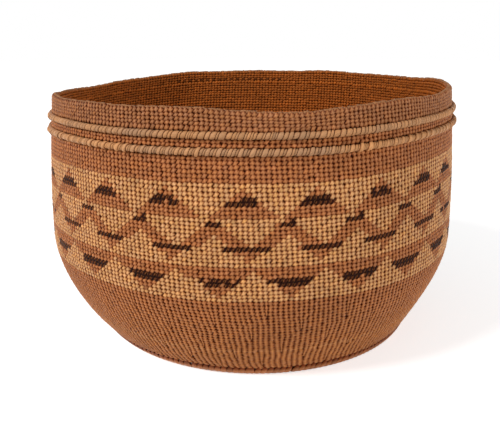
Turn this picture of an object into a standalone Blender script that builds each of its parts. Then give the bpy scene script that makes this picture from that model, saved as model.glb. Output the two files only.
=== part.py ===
"""A twined storage basket that stands on its base.

Metres, +Z up, the side that faces the viewer towards -Y, and the origin under the middle on the surface
that the basket stands on. The wall has three layers: the weft turns outside the warp rods, the rods
themselves, and the weft turns inside them. Two stiff hoops are lashed to the rods under the rim.
"""

import math

import bpy
from mathutils import Vector
from mathutils.geometry import interpolate_bezier

# The bowl's outline, on the outer face of the weft.
RIM_HEIGHT = 0.2070
RIM_RADIUS = 0.1691
RIM_HANDLE_OUT = 0.0044
RIM_HANDLE_DOWN = 0.0450
BELLY_RADIUS = 0.1764
BELLY_HEIGHT = 0.0870
SHOULDER_FULLNESS = 0.0400
BELLY_FULLNESS = 0.0370
BASE_RADIUS = 0.1367
HEEL_FULLNESS = 0.0030
# How far a deeper layer's base edge moves in, as a share of its depth, so that its thickness keeps.
HEEL_MITRE = 0.47

# The layers of the wall.
WEFT_THICKNESS = 0.0011
WARP_THICKNESS = 0.0020
LAYER_GAP = 0.0003
COURSE_GAP = 0.0003
WARP_TIP = 0.0008
OVERLAY_PROUD = 0.0001

# The stiff hoops outside the rods.
HOOP_ROD_RADIUS = 0.0017
LASHING_THICKNESS = 0.0005
LASHING_GAP = 0.0003
LASHING_MOUTH = math.radians(50)
HOOP_SIDES = 8

# The rounds of the base.
START_RADIUS = 0.0230
START_RECESS = 0.0004
BASE_EDGE_RISE = 0.0036
BASE_EDGE_UNDER = 0.0040
BASE_EDGE_PROUD = 0.0008
HEEL_LINE_PROUD = 0.0003

# What the hand left: the rim sags at the left back, the wall rises at the right, and the base lies a
# little to the right of the rim. Angles go round from the front towards +X.
SAG_DEPTH = 0.0070
SAG_ANGLE = math.radians(-110)
SAG_SPREAD = math.radians(36)
RISE_HEIGHT = 0.0035
RISE_ANGLE = math.radians(72)
RISE_SPREAD = math.radians(45)
BASE_SHIFT = 0.0055
BASE_SHIFT_TOP = 0.0420

# Fineness of the solids.
ROUND_STEPS = 36
OUTLINE_SAMPLES = 80
# No facet leaves the outline by more than this, so facets of neighbouring layers never meet.
FACET_DEPARTURE = 0.4 * LAYER_GAP
SMOOTH_ANGLE = math.radians(35)

# The rows of weft from the rim down to the turn of the base: name, courses, material, how far proud.
BANDS_ABOVE_HOOPS = (
    ("rim_edge_course", 1, "root_pale", 0.0),
    ("rim_courses", 4, "root", 0.0),
)
BANDS_BETWEEN_HOOPS = (("collar_courses", 2, "root", 0.0),)
BANDS_BELOW_HOOPS = (
    ("upper_wall_courses", 6, "root", 0.0),
    ("upper_border_overlay", 1, "bear_grass", OVERLAY_PROUD),
    ("upper_figure_overlay", 7, "figures", OVERLAY_PROUD),
    ("zigzag_overlay", 10, "figures", OVERLAY_PROUD),
    ("middle_border_overlay", 2, "bear_grass", OVERLAY_PROUD),
    ("divider_courses", 2, "root", 0.0),
    ("lower_figure_overlay", 5, "figures", OVERLAY_PROUD),
    ("lower_border_overlay", 1, "bear_grass", OVERLAY_PROUD),
    ("lower_wall_courses", 17, "root", 0.0),
    ("heel_line_course", 1, "root_pale", HEEL_LINE_PROUD),
    ("heel_courses", 11, "root", 0.0),
)

# Each finish: colour, roughness.
FINISHES = {
    "root": ((0.36, 0.165, 0.075), 0.62),
    "root_pale": ((0.46, 0.245, 0.115), 0.62),
    "root_inside": ((0.30, 0.125, 0.05), 0.70),
    "bear_grass": ((0.62, 0.40, 0.19), 0.48),
    "figures": ((0.44, 0.23, 0.11), 0.55),
    "base_root": ((0.33, 0.14, 0.065), 0.66),
    "hazel_rod": ((0.42, 0.27, 0.14), 0.70),
    "lashing": ((0.47, 0.30, 0.17), 0.58),
}


def clear_scene():
    for obj in list(bpy.data.objects):
        bpy.data.objects.remove(obj, do_unlink=True)


def make_finish(name):
    colour, roughness = FINISHES[name]
    material = bpy.data.materials.new(name)
    material.use_nodes = True
    shader = material.node_tree.nodes["Principled BSDF"]
    shader.inputs["Base Color"].default_value = (*colour, 1.0)
    shader.inputs["Roughness"].default_value = roughness
    shader.inputs["Metallic"].default_value = 0.0
    material.diffuse_color = (*colour, 1.0)
    return material


def wall_curves(depth):
    """The outline this deep in the wall: the curve above the belly and the one below it."""
    rim = Vector((RIM_RADIUS - depth, RIM_HEIGHT))
    rim_handle = rim + Vector((RIM_HANDLE_OUT, -RIM_HANDLE_DOWN))
    belly = Vector((BELLY_RADIUS - depth, BELLY_HEIGHT))
    above_belly = belly + Vector((0.0, SHOULDER_FULLNESS))
    below_belly = belly - Vector((0.0, BELLY_FULLNESS))
    base_edge = Vector((BASE_RADIUS - HEEL_MITRE * depth, BASE_EDGE_PROUD + depth))
    heel = base_edge + Vector((HEEL_FULLNESS, 0.0))
    upper = interpolate_bezier(rim, rim_handle, above_belly, belly, OUTLINE_SAMPLES)
    lower = interpolate_bezier(belly, below_belly, heel, base_edge, OUTLINE_SAMPLES)
    return [*upper, *lower[1:], Vector((0.0, base_edge.y))]


class Outline:
    """The bowl's outer outline, walked from the rim down and in to the middle of the base."""

    def __init__(self):
        self.points = wall_curves(0.0)
        self.arcs = [0.0]
        for here, there in zip(self.points, self.points[1:]):
            self.arcs.append(self.arcs[-1] + (there - here).length)
        self.belly_arc = self.arcs[OUTLINE_SAMPLES - 1]
        self.edge_arc = self.arcs[-2]
        self.middle_arc = self.arcs[-1]
        self.stations = self.facet_stations()

    def departure(self, first, last):
        """How far the outline leaves the straight line between two of its points."""
        start = self.points[first]
        way = (self.points[last] - start).normalized()
        return max(abs((point - start).cross(way)) for point in self.points[first:last])

    def facet_stations(self):
        """Arc lengths at which every layer has a ring of points, closer where the outline bends."""
        stations = [0.0]
        first = 0
        for index in range(1, len(self.points) - 1):
            too_long = self.departure(first, index + 1) > FACET_DEPARTURE
            at_a_join = self.arcs[index] in (self.belly_arc, self.edge_arc)
            if too_long or at_a_join:
                stations.append(self.arcs[index])
                first = index
        return stations

    def point(self, arc, depth):
        """The radius and height at this arc length, this deep in the wall."""
        index = len(self.arcs) - 2
        while index > 0 and self.arcs[index] > arc:
            index -= 1
        share = (arc - self.arcs[index]) / (self.arcs[index + 1] - self.arcs[index])
        points = wall_curves(depth)
        return points[index].lerp(points[index + 1], share)

    def line(self, start, end, depth):
        """Points from one arc length to another at one depth."""
        between = [arc for arc in self.stations if start + LAYER_GAP < arc < end - LAYER_GAP]
        return [self.point(arc, depth) for arc in (start, *between, end)]


def swell(angle, middle, spread):
    """1 at the middle angle, falling smoothly to 0 away from it."""
    away = (angle - middle + math.pi) % (2 * math.pi) - math.pi
    return math.exp(-((away / spread) ** 2))


def shape_by_hand(mesh):
    """Moves a truly round mesh to where the basket's own unevenness puts it."""
    for vertex in mesh.vertices:
        x, y, z = vertex.co
        angle = math.atan2(x, -y)
        rise = z / RIM_HEIGHT
        lift = RISE_HEIGHT * swell(angle, RISE_ANGLE, RISE_SPREAD) * rise**2
        sag = SAG_DEPTH * swell(angle, SAG_ANGLE, SAG_SPREAD) * rise**3
        low = max(1 - z / BASE_SHIFT_TOP, 0.0)
        vertex.co = (x + BASE_SHIFT * low**2, y, z + lift - sag)


class Basket:
    """The collection, the empty that carries the pieces, and the finishes."""

    def __init__(self):
        self.collection = bpy.data.collections.new("storage_basket")
        bpy.context.scene.collection.children.link(self.collection)
        self.carrier = bpy.data.objects.new("basket_carrier", None)
        self.collection.objects.link(self.carrier)

    def add_turned(self, name, profile, finish, touches_axis=False):
        """A piece turned round the basket's axis from a profile that runs down its outer side."""
        mesh = bpy.data.meshes.new(name)
        edges = [(index, index + 1) for index in range(len(profile) - 1)]
        if not touches_axis:
            edges.append((len(profile) - 1, 0))
        mesh.from_pydata([(radius, 0.0, height) for radius, height in profile], edges, [])
        piece = bpy.data.objects.new(name, mesh)
        self.collection.objects.link(piece)
        piece.parent = self.carrier
        turn = piece.modifiers.new("Turn", "SCREW")
        turn.axis = "Z"
        turn.steps = ROUND_STEPS
        turn.render_steps = ROUND_STEPS
        turn.use_merge_vertices = touches_axis
        turn.merge_threshold = 0.00005
        turn.use_smooth_shade = True
        bpy.context.view_layer.objects.active = piece
        bpy.ops.object.modifier_apply(modifier=turn.name)
        shape_by_hand(mesh)
        mesh.materials.append(make_finish(finish))
        mesh.materials[0].name = name
        mesh.shade_smooth()
        mesh.set_sharp_from_angle(angle=SMOOTH_ANGLE)
        return piece


def ring_profile(outline, start, end, outer_depth, inner_depth):
    """A closed profile between two arc lengths and two depths."""
    outer = outline.line(start, end, outer_depth)
    inner = outline.line(start, end, inner_depth)
    return [*outer, *reversed(inner)]


def disc_profile(outline, start, outer_depth, inner_depth):
    """A profile from an arc length in to the axis, open where it meets the axis."""
    outer = outline.line(start, outline.middle_arc, outer_depth)
    inner = outline.line(start, outline.middle_arc, inner_depth)
    return [*reversed(inner), *outer]


def lashing_bore():
    """The inner radius of the lashing at its corners, so that its flats clear the rod."""
    half_side = (math.pi - LASHING_MOUTH) / HOOP_SIDES
    return (HOOP_ROD_RADIUS + LASHING_GAP) / math.cos(half_side)


def hoop_width():
    """How much of the wall a lashed hoop takes."""
    return 2 * (lashing_bore() + LASHING_THICKNESS)


def add_warps(basket, outline):
    """The rods that run side by side from the start out over the base and up to the rim."""
    outer_depth = WEFT_THICKNESS + LAYER_GAP
    profile = disc_profile(outline, -WARP_TIP, outer_depth, outer_depth + WARP_THICKNESS)
    basket.add_turned("warp_rods", profile, "hazel_rod", touches_axis=True)


def add_hoop(basket, outline, name, start):
    """A bent rod outside the warps, in the lashing that ties it to them."""
    warp_face = WEFT_THICKNESS + LAYER_GAP
    middle = start + hoop_width() / 2
    rod_centre = outline.point(middle, warp_face - LAYER_GAP - HOOP_ROD_RADIUS)
    outwards = (outline.point(middle, 0.0) - outline.point(middle, warp_face)).normalized()
    top_angle = math.atan2(outwards.y, outwards.x)

    def around(radius, from_outwards):
        angle = top_angle + from_outwards
        return rod_centre + Vector((math.cos(angle), math.sin(angle))) * radius

    rod = [
        around(HOOP_ROD_RADIUS, math.pi - 2 * math.pi * (step + 0.5) / HOOP_SIDES)
        for step in range(HOOP_SIDES)
    ]
    basket.add_turned(name + "_hoop_rod", rod, "hazel_rod")

    reach = math.pi - LASHING_MOUTH
    turns = [reach - 2 * reach * step / HOOP_SIDES for step in range(HOOP_SIDES + 1)]
    outside = [around(lashing_bore() + LASHING_THICKNESS, angle) for angle in turns]
    inside = [around(lashing_bore(), angle) for angle in reversed(turns)]
    basket.add_turned(name + "_hoop_lashing", [*outside, *inside], "lashing")


def add_bands(basket, outline, bands, start, course):
    """The outer weft, one ring for each run of courses of one kind. Returns where the last ends."""
    for name, courses, finish, proud in bands:
        end = start + courses * course
        profile = ring_profile(
            outline, start + COURSE_GAP / 2, end - COURSE_GAP / 2, -proud, WEFT_THICKNESS
        )
        basket.add_turned(name, profile, finish)
        start = end
    return start


def add_outer_weft(basket, outline):
    """The courses outside the rods, and the two hoops among them."""
    runs = (BANDS_ABOVE_HOOPS, BANDS_BETWEEN_HOOPS, BANDS_BELOW_HOOPS)
    courses = sum(count for run in runs for _, count, _, _ in run)
    edge_start = outline.edge_arc - BASE_EDGE_RISE
    edge_end = outline.edge_arc + BASE_EDGE_UNDER
    course = (edge_start - 2 * hoop_width()) / courses

    arc = add_bands(basket, outline, BANDS_ABOVE_HOOPS, 0.0, course)
    add_hoop(basket, outline, "upper", arc)
    arc = add_bands(basket, outline, BANDS_BETWEEN_HOOPS, arc + hoop_width(), course)
    add_hoop(basket, outline, "lower", arc)
    add_bands(basket, outline, BANDS_BELOW_HOOPS, arc + hoop_width(), course)

    edge = ring_profile(
        outline,
        edge_start + COURSE_GAP / 2,
        edge_end - COURSE_GAP / 2,
        -BASE_EDGE_PROUD,
        WEFT_THICKNESS,
    )
    basket.add_turned("base_edge_course", edge, "root_pale")
    print(f"one course of weft is {course * 1000:.2f} mm")
    return edge_end


def add_base(basket, outline, edge_end):
    """The rounds under the base, from the start out to the thicker course at its edge."""
    start_arc = outline.middle_arc - START_RADIUS
    rounds = ring_profile(
        outline, edge_end + COURSE_GAP / 2, start_arc - COURSE_GAP / 2, 0.0, WEFT_THICKNESS
    )
    basket.add_turned("base_courses", rounds, "base_root")
    start = disc_profile(outline, start_arc + COURSE_GAP / 2, START_RECESS, WEFT_THICKNESS)
    basket.add_turned("start_courses", start, "base_root", touches_axis=True)


def add_inner_weft(basket, outline):
    """The weft turns inside the rods: the upper wall, the lower wall and the floor."""
    outer_depth = WEFT_THICKNESS + WARP_THICKNESS + 2 * LAYER_GAP
    inner_depth = outer_depth + WEFT_THICKNESS
    half_gap = COURSE_GAP / 2
    spans = (
        ("inside_weft_upper", 0.0, outline.belly_arc - half_gap),
        ("inside_weft_lower", outline.belly_arc + half_gap, outline.edge_arc - half_gap),
    )
    for name, start, end in spans:
        profile = ring_profile(outline, start, end, outer_depth, inner_depth)
        basket.add_turned(name, profile, "root_inside")
    floor = disc_profile(outline, outline.edge_arc + half_gap, outer_depth, inner_depth)
    basket.add_turned("inside_weft_floor", floor, "root_inside", touches_axis=True)


def main():
    clear_scene()
    outline = Outline()
    basket = Basket()
    add_warps(basket, outline)
    edge_end = add_outer_weft(basket, outline)
    add_base(basket, outline, edge_end)
    add_inner_weft(basket, outline)


main()
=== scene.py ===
"""A twined storage basket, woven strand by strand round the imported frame, and a stage to show it on."""

import math
from typing import NamedTuple

import bpy
import numpy as np
from bpy.props import FloatProperty, FloatVectorProperty, IntProperty, PointerProperty
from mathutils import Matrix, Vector


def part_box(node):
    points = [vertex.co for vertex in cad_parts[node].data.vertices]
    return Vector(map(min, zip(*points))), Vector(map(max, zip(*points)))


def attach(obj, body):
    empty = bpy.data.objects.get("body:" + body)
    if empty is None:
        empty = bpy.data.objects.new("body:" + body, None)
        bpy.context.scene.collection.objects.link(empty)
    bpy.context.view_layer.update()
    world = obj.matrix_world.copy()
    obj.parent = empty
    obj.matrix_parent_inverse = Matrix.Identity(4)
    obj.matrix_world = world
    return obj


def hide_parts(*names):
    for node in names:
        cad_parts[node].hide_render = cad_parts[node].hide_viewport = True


bl_info = {
    "name": "Twined storage basket",
    "version": (1, 0, 0),
    "blender": (4, 5, 0),
    "location": "3D View > Sidebar > Basket",
    "description": "Weaves a twined storage basket with two lashed hoops, strand by strand",
    "category": "Add Mesh",
}

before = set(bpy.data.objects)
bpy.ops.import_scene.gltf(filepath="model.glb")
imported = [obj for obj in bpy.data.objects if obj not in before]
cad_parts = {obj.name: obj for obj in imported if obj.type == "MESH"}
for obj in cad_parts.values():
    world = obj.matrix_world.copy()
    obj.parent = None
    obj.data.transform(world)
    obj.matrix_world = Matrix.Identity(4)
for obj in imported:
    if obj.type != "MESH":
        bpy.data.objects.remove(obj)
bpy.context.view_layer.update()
BODY = "root"

# The weft's strands: what each one shows on the outside.
ROOT = 0
GRASS = 1
FERN = 2


class Run(NamedTuple):
    """Courses of one kind: the node they stand for, their number, height together and shares of it."""

    node: str
    courses: int
    height: float
    shares: tuple = (1,)


# The runs down the wall, from the rim to the turn of the base. The hoops' runs have no courses outside.
HOOP = "hoop"
HOOP_WIDTH = 0.00517
WALL_RUNS = (
    Run("rim_edge_course", 1, 0.0028),
    Run("rim_courses", 4, 0.0114, (0.9, 0.9, 0.95, 1.25)),
    Run(HOOP, 0, HOOP_WIDTH),
    Run("collar_courses", 2, 0.0055),
    Run(HOOP, 0, HOOP_WIDTH),
    Run("upper_wall_courses", 6, 0.0178),
    Run("upper_border_overlay", 1, 0.0029),
    Run("upper_figure_overlay", 7, 0.0206, (1.05, 1.05, 1.05, 1.05, 1.0, 0.93, 0.93)),
    Run("zigzag_overlay", 10, 0.0278),
    Run("middle_border_overlay", 2, 0.0056),
    Run("divider_courses", 3, 0.0084),
    Run("lower_figure_overlay", 5, 0.0142),
    Run("lower_border_overlay", 1, 0.0028),
    Run("lower_wall_courses", 17, 0.0495),
    Run("heel_line_course", 1, 0.0029),
    Run("heel_courses", 10, 0.0258),
)
PATTERN_RUNS = (
    "upper_border_overlay",
    "upper_figure_overlay",
    "zigzag_overlay",
    "middle_border_overlay",
    "divider_courses",
    "lower_figure_overlay",
    "lower_border_overlay",
)

# The middles of the top figures that face the viewer, in rods from the front, as the weaver spaced them.
FRONT_FIGURES = (-46, -32, -18, -3, 11, 25, 38, 50)
FIGURES_ROUND = 22
# Here and there the dark strand gave out and the root shows: the share of such places.
WORN_SHARE = 0.06


class BasketSizes(bpy.types.PropertyGroup):
    """The bowl's outline and layers, and the gauge of its weave."""

    rim_height: FloatProperty(
        name="Rim height", description="Height of the rim over the table", default=0.2070, unit="LENGTH"
    )
    rim_radius: FloatProperty(
        name="Rim radius", description="Outer radius at the rim", default=0.1691, unit="LENGTH"
    )
    rim_handle_out: FloatProperty(
        name="Rim spread", description="How fast the wall widens under the rim", default=0.0044, unit="LENGTH"
    )
    rim_handle_down: FloatProperty(
        name="Rim reach", description="How far down the rim's lean holds", default=0.0450, unit="LENGTH"
    )
    belly_radius: FloatProperty(
        name="Belly radius", description="Outer radius where the bowl is widest", default=0.1764,
        unit="LENGTH",
    )
    belly_height: FloatProperty(
        name="Belly height", description="Height at which the bowl is widest", default=0.0870, unit="LENGTH"
    )
    shoulder_fullness: FloatProperty(
        name="Shoulder fullness", description="How upright the wall is above the belly", default=0.0400,
        unit="LENGTH",
    )
    belly_fullness: FloatProperty(
        name="Belly fullness", description="How upright the wall is below the belly", default=0.0370,
        unit="LENGTH",
    )
    base_radius: FloatProperty(
        name="Base radius", description="Outer radius at the turn of the base", default=0.1350, unit="LENGTH"
    )
    heel_fullness: FloatProperty(
        name="Heel fullness", description="How round the turn of the base is", default=0.0030, unit="LENGTH"
    )
    weft_thickness: FloatProperty(
        name="Weft thickness", description="Thickness of one turn of strand", default=0.0011, unit="LENGTH"
    )
    warp_thickness: FloatProperty(
        name="Rod thickness", description="Thickness of a rod through the wall", default=0.0020, unit="LENGTH"
    )
    rods_at_belly: IntProperty(
        name="Rods round the belly", description="Rods side by side at the belly", default=308, min=32
    )
    rods_at_base: IntProperty(
        name="Rods at the base edge", description="Rods side by side at the turn of the base", default=200,
        min=16,
    )
    rods_at_start: IntProperty(
        name="Rods at the start", description="Rod ends that leave the crossed rods of the start", default=16,
        min=8,
    )
    hoop_rod_radius: FloatProperty(
        name="Hoop rod radius", description="Radius of the stiff rod in each hoop", default=0.0017,
        unit="LENGTH",
    )


class BasketColours(bpy.types.PropertyGroup):
    """The colours of the strands and rods."""

    root: FloatVectorProperty(
        name="Root", description="Split root of the plain courses", subtype="COLOR",
        default=(0.520, 0.200, 0.070), min=0.0, max=1.0,
    )
    rim_root: FloatVectorProperty(
        name="Rim root", description="The paler, worn root at the rim", subtype="COLOR",
        default=(0.458, 0.192, 0.075), min=0.0, max=1.0,
    )
    heel_root: FloatVectorProperty(
        name="Heel root", description="Root of the heel's broad ribs", subtype="COLOR",
        default=(0.568, 0.222, 0.066), min=0.0, max=1.0,
    )
    base_root: FloatVectorProperty(
        name="Base root", description="The redder, rubbed root of the base", subtype="COLOR",
        default=(0.380, 0.115, 0.035), min=0.0, max=1.0,
    )
    inside_root: FloatVectorProperty(
        name="Inside root", description="Root on the inside, which light has not faded", subtype="COLOR",
        default=(0.500, 0.140, 0.022), min=0.0, max=1.0,
    )
    grass: FloatVectorProperty(
        name="Bear grass", description="The pale overlay of the pattern's ground", subtype="COLOR",
        default=(0.762, 0.392, 0.152), min=0.0, max=1.0,
    )
    fern: FloatVectorProperty(
        name="Fern stem", description="The dark overlay of the figures", subtype="COLOR",
        default=(0.026, 0.006, 0.003), min=0.0, max=1.0,
    )
    hoop_strand: FloatVectorProperty(
        name="Hoop strand", description="The strand that lashes the hoops", subtype="COLOR",
        default=(0.560, 0.262, 0.102), min=0.0, max=1.0,
    )
    hoop_grey: FloatVectorProperty(
        name="Weathered hoop strand", description="The hoop strand where it has gone grey", subtype="COLOR",
        default=(0.405, 0.222, 0.118), min=0.0, max=1.0,
    )
    # The rods' own brown is painted dark as shade for the holes between the strands, where the rods show.
    rod: FloatVectorProperty(
        name="Rod", description="The rods, dark with age between the strands", subtype="COLOR",
        default=(0.110, 0.028, 0.007), min=0.0, max=1.0,
    )
    rod_tip: FloatVectorProperty(
        name="Rod tip", description="The rods' trimmed tips at the rim", subtype="COLOR",
        default=(0.340, 0.145, 0.055), min=0.0, max=1.0,
    )


class StageSettings(bpy.types.PropertyGroup):
    """The camera and the light."""

    camera_distance: FloatProperty(
        name="Camera distance", description="From the basket's axis", default=0.587, unit="LENGTH"
    )
    camera_height: FloatProperty(
        name="Camera height", description="Above the table", default=0.2625, unit="LENGTH"
    )
    camera_tilt: FloatProperty(
        name="Camera tilt", description="How far the camera looks down", default=math.radians(16.35),
        subtype="ANGLE",
    )
    lens: FloatProperty(name="Lens", description="Focal length in millimetres", default=47.31)
    camera_shift: FloatProperty(
        name="Camera shift", description="Share of the frame's width", default=-0.003
    )
    key_power: FloatProperty(name="Key light", description="Power of the large soft light", default=46.5)
    fill_power: FloatProperty(name="Fill light", description="Power of the weaker light", default=14.5)
    sky_strength: FloatProperty(name="Sky", description="Strength of the light all round", default=0.25)


# Shape of the wall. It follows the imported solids, but for the edge of the base, which the photograph shows
# higher and a little further in.
OUTLINE_SAMPLES = 160
# The clearance between the rods and the turns on each side, and how far the turn of the base moves in for
# each metre of depth.
LAYER_GAP = 0.0003
HEEL_MITRE = 0.47
# The thick course at the turn of the base: how far it reaches up the heel and in under the base, and how far
# it stands out.
BASE_EDGE_RISE = 0.0086
BASE_EDGE_UNDER = 0.0040
BASE_EDGE_PROUD = 0.0008
# It swells a little further out on the heel than under the base, where it is worn flat.
BASE_EDGE_SWELL = 0.0007
# Its turns reach under the courses on both sides, and their ends are tucked in there.
BASE_EDGE_REACH = 1.45
BASE_EDGE_TUCK = 0.0014
# How wide each of them is and how far it slants, in widths of the rod that it passes over.
BASE_EDGE_OVERLAP = 1.3
BASE_EDGE_SLANT = 1.5
# What the hand left: the rim sags at the left back, the wall rises at the right, and the base lies to the
# right of the rim.
SAG_DEPTH = 0.0070
SAG_ANGLE = math.radians(-110)
SAG_SPREAD = math.radians(36)
RISE_HEIGHT = 0.0035
RISE_ANGLE = math.radians(72)
RISE_SPREAD = math.radians(45)
BASE_SHIFT = 0.0042
BASE_SHIFT_TOP = 0.0420
# How far the rods' trimmed tips stand above the last course.
WARP_TIP = 0.0008
# How far round the rods lean for each metre down the wall, in radians.
ROD_LEAN = 0.35
# How many rods there are at these heights, and the height by which all of them have joined.
RODS_AT_HEIGHTS = ((0.026, 255), (0.040, 275))
ALL_RODS_HEIGHT = 0.060
# Over this much of the wall a new rod grows from nothing to its full width.
NEW_ROD_GROWTH = 0.024
# The strand passes over a new rod once the rod has this share of its full width.
LEAST_WOVEN_SHARE = 0.30
# How far the first rods reach across the middle of the base, from the axis.
START_CROSS = 0.0062
# The rods that are plaited across each other in the middle of the base, each way.
START_RODS = 4
START_ROD_LENGTH = 2.3 * START_CROSS
START_ROD_THICKNESS = 0.0015
START_ROD_WAVE = 0.0007
# Where the lashing of the upper hoop shows inside, as a line of dark dashes: how far down the wall, round
# which angle, how far each way, and how much of the colour is left.
LASHED_ARC = 0.0095
LASHED_ANGLE = math.radians(189)
LASHED_SPREAD = math.radians(21.565)
LASHED_TONE = 0.35
# How far each way the lashing wraps its rod, how deep it is sunk into it, and how far it slants.
LASHING_REACH = math.radians(150)
LASHING_SUNK = 0.0004
LASHING_SLANT = 0.0048
# The dip in the rim squeezes the courses over this much of the wall under it.
RIM_DIP_REACH = 0.0142
# The rods press into each other: how wide each is, as a share of its place.
ROD_OVERLAP = 1.3
# A rod is made of straight lengths, and so many of them lie under the base.
ROD_STATIONS = 22
UNDER_STATIONS = 6
# At how many places down the wall the rods' places round it are worked out.
ROD_SAMPLES = 240
# The inside has two courses behind the part of the thick course on the heel, and two behind the part under
# the base: how far from the turn of the base each lies, as a share of that part.
BEHIND_EDGE = (0.75, 0.25)
# The widths of the strand's turns round the hoops, next to each other. On the upper hoop they are broad and
# narrow as the strand was split, each width in its share of the turns.
UPPER_LASHING_TURNS = 370
UPPER_LASHING_WIDTHS = (1.4, 2.2, 3.0, 3.8, 4.6)
UPPER_LASHING_SHARES = (0.2, 0.25, 0.25, 0.2, 0.1)
# On the lower hoop one broad proud turn and two narrow ones lie over every two rods.
LOWER_LASHING_WIDTHS = (3.4, 2.1, 1.8)
LOWER_LASHING_PROUD = (1.22, 0.94, 0.86)


def bezier(start, start_handle, end_handle, end):
    """Points along a cubic curve in radius and height."""
    share = np.linspace(0.0, 1.0, OUTLINE_SAMPLES)[:, None]
    rest = 1.0 - share
    return (
        rest**3 * np.array(start)
        + 3 * rest**2 * share * np.array(start_handle)
        + 3 * rest * share**2 * np.array(end_handle)
        + share**3 * np.array(end)
    )


def ramp(value, start, end):
    """0 up to the start, 1 from the end on, and a straight climb between them."""
    return np.clip((value - start) / (end - start), 0.0, 1.0)


def swell(angle, middle, spread):
    """1 at the middle angle, falling smoothly to 0 away from it."""
    away = (angle - middle + math.pi) % (2 * math.pi) - math.pi
    return np.exp(-((away / spread) ** 2))


class Wall:
    """The bowl's surface: an angle round from the front, an arc length down from the rim, and a depth."""

    def __init__(self, sizes):
        self.sizes = sizes
        self.face = self.outline(0.0)
        self.inward = self.outline(1.0) - self.face
        steps = np.linalg.norm(np.diff(self.face, axis=0), axis=1)
        self.arcs = np.concatenate(([0.0], np.cumsum(steps)))
        self.edge_arc = self.arcs[-2]
        self.middle_arc = self.arcs[-1]

    def outline(self, depth):
        """Radius and height of the layer at this depth, from the rim down and in to the axis."""
        s = self.sizes
        rim = (s.rim_radius - depth, s.rim_height)
        rim_handle = (rim[0] + s.rim_handle_out, rim[1] - s.rim_handle_down)
        belly = (s.belly_radius - depth, s.belly_height)
        above_belly = (belly[0], belly[1] + s.shoulder_fullness)
        below_belly = (belly[0], belly[1] - s.belly_fullness)
        edge = (s.base_radius - HEEL_MITRE * depth, BASE_EDGE_PROUD + depth)
        heel = (edge[0] + s.heel_fullness, edge[1])
        upper = bezier(rim, rim_handle, above_belly, belly)
        lower = bezier(belly, below_belly, heel, edge)
        return np.vstack((upper, lower[1:], (0.0, edge[1])))

    def section(self, arc, depth):
        """Radius and height at an arc length and depth, before the hand's unevenness."""
        radius = np.interp(arc, self.arcs, self.face[:, 0])
        radius += depth * np.interp(arc, self.arcs, self.inward[:, 0])
        height = np.interp(arc, self.arcs, self.face[:, 1])
        height += depth * np.interp(arc, self.arcs, self.inward[:, 1])
        return radius, height - np.minimum(arc, 0.0)

    def place(self, angle, arc, depth):
        """World positions of points on the wall."""
        return self.turn(angle, *self.section(arc, depth))

    def turn(self, angle, radius, height):
        """World positions of points round the axis, with what the hand left: sag, rise and shifted base."""
        rise = height / self.sizes.rim_height
        lift = RISE_HEIGHT * swell(angle, RISE_ANGLE, RISE_SPREAD) * rise**2
        sag = SAG_DEPTH * swell(angle, SAG_ANGLE, SAG_SPREAD) * rise**3
        low = np.maximum(1 - height / BASE_SHIFT_TOP, 0.0)
        x = radius * np.sin(angle) + BASE_SHIFT * low**2
        y = -radius * np.cos(angle)
        return np.stack((x, y, height + lift - sag), axis=-1)

    def arc_at_height(self, height):
        """Arc length at which the wall's face has this height."""
        return float(np.interp(-height, -self.face[:-1, 1], self.arcs[:-1]))


class Course(NamedTuple):
    """One round of weft: the node that it belongs to, its middle and its height along the wall."""

    node: str
    arc: float
    height: float


def wall_courses():
    """The courses from the rim down to the turn of the base, and the arcs of the two hoops' middles."""
    courses = []
    hoops = []
    arc = 0.0
    for run in WALL_RUNS:
        if run.node == HOOP:
            hoops.append(arc + run.height / 2)
            arc += run.height
            continue
        shares = np.resize(run.shares, run.courses)
        for height in shares * run.height / shares.sum():
            courses.append(Course(run.node, arc + height / 2, height))
            arc += height
    return courses, hoops


def base_courses(wall, course_height):
    """The rounds of the base, from its edge in to the crossed rods of the start."""
    outer = wall.edge_arc + BASE_EDGE_UNDER
    inner = wall.middle_arc - START_CROSS
    count = round((inner - outer) / course_height)
    height = (inner - outer) / count
    start_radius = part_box("start_courses")[1].y
    courses = []
    for index in range(count):
        arc = outer + (index + 0.5) * height
        node = "base_courses" if wall.middle_arc - arc > start_radius else "start_courses"
        courses.append(Course(node, arc, height))
    return courses


class Rods:
    """Which rods there are at any arc length, and where they stand round the basket."""

    def __init__(self, wall):
        sizes = wall.sizes
        self.number = sizes.rods_at_belly
        golden = (math.sqrt(5) - 1) / 2
        rank = np.argsort((np.arange(self.number) * golden) % 1.0)
        heights, joined = zip(*RODS_AT_HEIGHTS)
        counts = (sizes.rods_at_start, sizes.rods_at_base, *joined, sizes.rods_at_belly)
        arcs = [wall.middle_arc - START_CROSS, wall.edge_arc]
        arcs += [wall.arc_at_height(height) for height in (*heights, ALL_RODS_HEIGHT)]
        self.lowest = np.interp(rank, counts, arcs)
        self.lowest[rank < sizes.rods_at_start] = wall.middle_arc

    def shares(self, arc):
        """How much of its full width each rod has at this arc length, from 0 to 1."""
        return ramp(self.lowest - arc, 0.0, NEW_ROD_GROWTH)

    def stand(self, arc):
        """Every rod's angle and angular width at this arc length."""
        shares = self.shares(arc)
        width = 2 * math.pi * shares / max(shares.sum(), 1.0)
        return np.cumsum(width) - width / 2 - math.pi + ROD_LEAN * arc, width


# Modelling: primitives shaped in edit mode.


def deselect_all():
    """Leaves edit mode and selects nothing."""
    if bpy.context.object and bpy.context.object.mode != "OBJECT":
        bpy.ops.object.mode_set(mode="OBJECT")
    bpy.ops.object.select_all(action="DESELECT")


def add_primitive(add, **settings):
    """A new primitive, alone in the selection, with its place and turn in its mesh."""
    deselect_all()
    add(**settings)
    bpy.ops.object.transform_apply(location=True, rotation=True, scale=False)
    bpy.ops.object.shade_smooth()
    return bpy.context.object


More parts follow.
